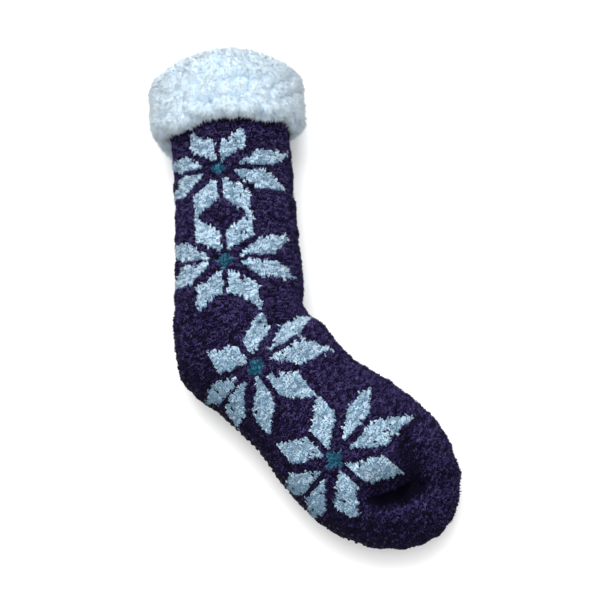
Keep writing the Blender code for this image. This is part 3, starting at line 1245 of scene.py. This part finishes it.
    def build(self, finish: bpy.types.Material) -> None:
        """Builds the clumped fleece and the tufts of fibres that stand on it.

        The clumps' rows wander round and down the leg in sine waves, each with a height and a length.

        Args:
            finish: the fleece's material.
        """
        rng = np.random.default_rng(self.seed)
        smooth, shows, outside = self.smooth_form()
        rows, columns = smooth.shape[:2]
        by_turn = np.roll(smooth, -1, axis=1) - np.roll(smooth, 1, axis=1)
        by_row = np.gradient(smooth, axis=0)
        normal = unit(np.cross(by_row, by_turn))
        girth = np.linalg.norm(np.diff(smooth, axis=1), axis=-1).sum(axis=1).max()
        u = (np.arange(columns) / columns * girth)[None, :] + np.zeros((rows, 1))
        steps = np.linalg.norm(np.diff(smooth, axis=0), axis=-1).mean(axis=1)
        v = np.concatenate([[0.0], np.cumsum(steps)])[:, None] + np.zeros((1, columns))
        across = u + self.wander_across[0] * np.sin(v / self.wander_across[1])
        down = v / self.clump_stretch + self.wander_down[0] * np.sin(u / self.wander_down[1])
        clump, from_u, from_v = round_bumps(across, down, self.clump, girth, rng)
        height = self.clump_height * (clump - 0.5) - self.tuft_room
        points = smooth + (shows * height)[..., None] * normal
        points[..., 2] = np.maximum(points[..., 2], 0)
        faces = [ring_faces(rows, columns, flip=True), band(0, (rows - 1) * columns, columns)]
        piece = make_piece("fleece_cuff", points.reshape(-1, 3), faces, finish)
        # painted shade: the fleece is greyer between its clumps
        deep, crest = self.clump_shade_tones
        tone = np.clip(deep + (crest - deep) * clump, 0, 1)
        add_value(piece, "tone", tone)
        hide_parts("sherpa_cuff")
        from_top = unit(by_turn) * from_u[..., None] + unit(by_row) * from_v[..., None]
        ways = unit(normal - self.tuft_pull * from_top - self.tuft_droop * unit(by_row))
        facing = unit(normal + self.clump_round * from_top)
        for name, here in (("outside", outside), ("inside", ~outside)):
            share = (shows * here)[:, 0]
            self.build_tufts(f"fleece_tufts_{name}", points, ways, facing, tone, share, finish, rng)

    def build_tufts(
        self,
        name: str,
        points: np.ndarray,
        ways: np.ndarray,
        facing: np.ndarray,
        tone: np.ndarray,
        share: np.ndarray,
        finish: bpy.types.Material,
        rng: np.random.Generator,
    ) -> None:
        """The fleece's fibres, drawn together over each clump into a tuft.

        A hair stands for a lock of finer fibres, and is drawn as coarse as it needs to show.

        Args:
            name: the piece's name.
            points: the fleece's points, a ring a row.
            ways: the unit vector along which a fibre stands on each point.
            facing: the normals that the fibres are shaded with.
            tone: the fleece's tones, greyer between clumps as painted shade.
            share: how many of the fibres stand in each row, by weight.
            finish: its material.
            rng: source of the random choice.
        """
        count = self.tuft_hairs
        row = rng.choice(len(points), count, p=share / share.sum())
        column = rng.integers(0, self.around, count)
        facing = facing[row, column]
        stand = self.tuft_stand * rng.uniform(0, 1, (count, 1)) ** 3 * facing
        ways = unit(ways[row, column] + stand + rng.normal(0, self.tuft_spread, (count, 3)))
        push = rng.uniform(-self.tuft_sunk, self.tuft_sunk, (count, 3))
        roots = points[row, column] + push - self.tuft_sunk * ways
        lengths = rng.uniform(*self.tuft_length, count)
        widths = rng.uniform(*self.tuft_radius, count)
        clear = np.minimum(roots[:, 2] - widths, roots[:, 2] + ways[:, 2] * lengths) > self.lowest
        shapes = hairs(roots[clear], ways[clear], lengths[clear], widths[clear], rng)
        tone = tone[row, column][clear] + rng.normal(0, self.tuft_tone, int(clear.sum()))
        make_hairs(name, shapes, tone, self.foot_shade_rise, facing[clear], finish)


@dataclass
class SherpaLining:
    """The fleece bag inside the sock, from the end of the cuff's inner side to the toe."""

    form: SockForm
    start: float = 27.0
    gap: float = 0.4
    pile: float = 5.0
    clump: float = 9.0
    clump_height: float = 1.6
    # tones in a clump's hollow and on its top: painted shade between clumps
    clump_shade_tones: tuple[float, float] = (0.2, 0.9)
    outer_tone: float = 0.5
    girth: float = 270.0
    around: int = 100
    leg_rows: int = 100
    toe_rows: int = 22
    toe_angle: float = 72.0
    seed: int = 37
    toe_dip: ClassVar[Crease] = Crease("under_toe_fold", 56, -152, 90, -142, 32.0, 32.0, 18.0, 2.0)

    def build(self, finish: bpy.types.Material) -> None:
        """Builds the bag: the knit's form set in by the wall, with a clumped inner face.

        Args:
            finish: the fleece's material.
        """
        rng = np.random.default_rng(self.seed)
        form, columns = self.form, self.around
        leg = np.linspace(self.start, form.toe_start, self.leg_rows, endpoint=False)
        angles = np.linspace(0, np.radians(self.toe_angle), self.toe_rows)
        along = np.concatenate([leg, form.toe_start + form.toe_length * np.sin(angles)])[:, None]
        turn = (np.arange(columns) * 2 * np.pi / columns)[None, :]
        skin = form.surface(along, turn)
        normal = form.soft_outward(along, turn)
        outer = skin - (form.wall + self.gap) * normal
        u = turn / (2 * np.pi) * self.girth + 0 * along
        bumps, _, _ = round_bumps(u, along + 0 * turn, self.clump, self.girth, rng)
        off = form.wall + self.gap + self.pile + self.clump_height * (bumps - 0.5)
        inner = skin - off[..., None] * normal
        points, faces = bag(outer, inner, np.stack([outer[-1].mean(axis=0), inner[-1].mean(axis=0)]))
        piece = make_piece("fleece_lining", points, faces, finish)
        # painted shade: the inner face is greyer between its clumps
        deep, crest = self.clump_shade_tones
        tone = np.full(len(points), self.outer_tone)
        tone[bumps.size : 2 * bumps.size] = np.clip(deep + (crest - deep) * bumps, 0, 1).ravel()
        add_value(piece, "tone", tone)


@dataclass
class GripDots:
    """Printed rubber dots under the sole, in staggered rows along the foot."""

    form: SockForm
    start: float = 196.0
    end: float = 372.0
    pitch: float = 5.6
    row_pitch: float = 0.87
    reach: float = 13.0
    widest_turn: float = 1.1
    least_closing: float = 0.55
    off_floor: float = 1.0
    radius: float = 1.15
    height: float = 0.5
    stand: float = 0.2
    sunk: float = 1.5
    neck: float = 1.0
    shoulder: tuple[float, float] = (0.8, 0.7)
    sides: int = 8

    def build(self, finish: bpy.types.Material) -> None:
        """Builds low domes on necks that reach into the knit, closed underneath.

        A dome has a foot ring, a shoulder ring and a top point.

        Args:
            finish: the dots' material.
        """
        rows = np.arange(self.start, self.end, self.pitch * self.row_pitch)
        across = np.arange(-self.reach, self.reach, self.pitch)
        along = np.repeat(rows, len(across))
        stagger = np.repeat(np.arange(len(rows)) % 2 * self.pitch / 2, len(across))
        arc = np.tile(across, len(rows)) + stagger - self.pitch / 4
        half = self.form.sized("thick", along) / 2
        closing = self.form.closing(along)
        turn = np.pi + np.clip(arc / (half * closing), -self.widest_turn, self.widest_turn)
        middle = self.form.surface(along, turn)
        normal = self.form.outward(along, turn)
        clear = (middle[:, 2] > self.radius + self.off_floor) & (closing > self.least_closing)
        middle, normal = middle[clear], normal[clear]
        side = unit(np.cross(normal, np.array([[0.0, 0.0, 1.0]])))
        other = np.cross(normal, side)
        middle, normal = middle[:, None], normal[:, None]
        angle = (np.arange(self.sides) * 2 * np.pi / self.sides)[None, :, None]
        wheel = self.radius * (np.cos(angle) * side[:, None] + np.sin(angle) * other[:, None])
        narrow, high = self.shoulder
        base = middle + (self.stand - self.sunk) * normal
        shoulder = base + narrow * wheel + (high * self.height + self.neck) * normal
        top = base + (self.height + self.neck) * normal
        points = np.concatenate([base + wheel, shoulder, top], axis=1)
        first = points.shape[1] * np.arange(len(points))[:, None, None]
        walls = band(0, self.sides, self.sides)
        caps = fan(self.sides, 2 * self.sides, self.sides)
        floors = np.arange(self.sides)[None, ::-1]
        blocks = [(first + faces).reshape(-1, faces.shape[1]) for faces in (walls, caps, floors)]
        make_piece("grip_dots", points.reshape(-1, 3), blocks, finish)


@dataclass
class Studio:
    """The floor, the light and the camera at the photograph's angle."""

    aim: tuple[float, float, float] = (0.0, -2.0, 36.0)
    eye: tuple[float, float, float] = (45.0, -170.5, 886.0)
    shown: float = 455.0
    floor_size: float = 6000.0
    room: float = 0.72
    sensor: float = 36.0
    lamps: tuple[Lamp, ...] = (
        Lamp("key", (-0.15, 1.0, 1.7), 1.2, 22.0),
        Lamp("softbox", (-0.1, 0.4, 2.15), 2.4, 42.0),
    )

    def build_floor(self) -> None:
        """A wide pale square of paper."""
        half = self.floor_size / 2 * METRES
        mesh = bpy.data.meshes.new("floor")
        corners = [(-half, -half, 0), (half, -half, 0), (half, half, 0), (-half, half, 0)]
        mesh.from_pydata(corners, [], [(0, 1, 2, 3)])
        mesh.materials.append(BACKDROP_PAPER.material())
        put_in_scene("floor", mesh)

    def build_lights(self) -> None:
        """The soft lights, and even white surroundings."""
        for lamp in self.lamps:
            data = bpy.data.lights.new(lamp.name, "AREA")
            data.size = lamp.size
            data.energy = lamp.watts
            light = put_in_scene(lamp.name, data)
            light.location = lamp.place
            light.rotation_euler = (-Vector(lamp.place)).to_track_quat("-Z", "Y").to_euler()
        world = bpy.data.worlds.new("white_room")
        world.use_nodes = True
        background = world.node_tree.nodes["Background"]
        background.inputs["Color"].default_value = (1.0, 1.0, 1.0, 1.0)
        background.inputs["Strength"].default_value = self.room
        bpy.context.scene.world = world

    def build_camera(self) -> None:
        """The camera, held so that its picture's width runs along the X axis."""
        camera = bpy.data.cameras.new("camera")
        camera.sensor_width = self.sensor
        way = Vector(self.aim) - Vector(self.eye)
        camera.lens = self.sensor * way.length / self.shown
        view = put_in_scene("camera", camera)
        ahead = way.normalized()
        right = (Vector((1.0, 0.0, 0.0)) - ahead.x * ahead).normalized()
        turned = Matrix((right, right.cross(ahead), -ahead)).transposed().to_4x4()
        view.matrix_world = Matrix.Translation(Vector(self.eye) * METRES) @ turned
        bpy.context.scene.camera = view

    def build(self) -> None:
        """Builds the floor, the light and the camera, with colours shown as they are."""
        self.build_floor()
        self.build_lights()
        self.build_camera()
        bpy.context.scene.view_settings.view_transform = "Standard"


def main() -> None:
    """Builds every piece in order."""
    logging.basicConfig(level=logging.INFO, format="%(name)s: %(message)s")
    form = SockForm()
    KnitSock(form, KnitGrid(form)).build()
    fleece = CurlyFleece().material()
    SherpaCuff(form).build(fleece)
    SherpaLining(replace(form, creases=(*form.creases, SherpaLining.toe_dip))).build(fleece)
    GripDots(form).build(GRIP_RUBBER.material())
    Studio().build()


if __name__ == "__main__":
    main()
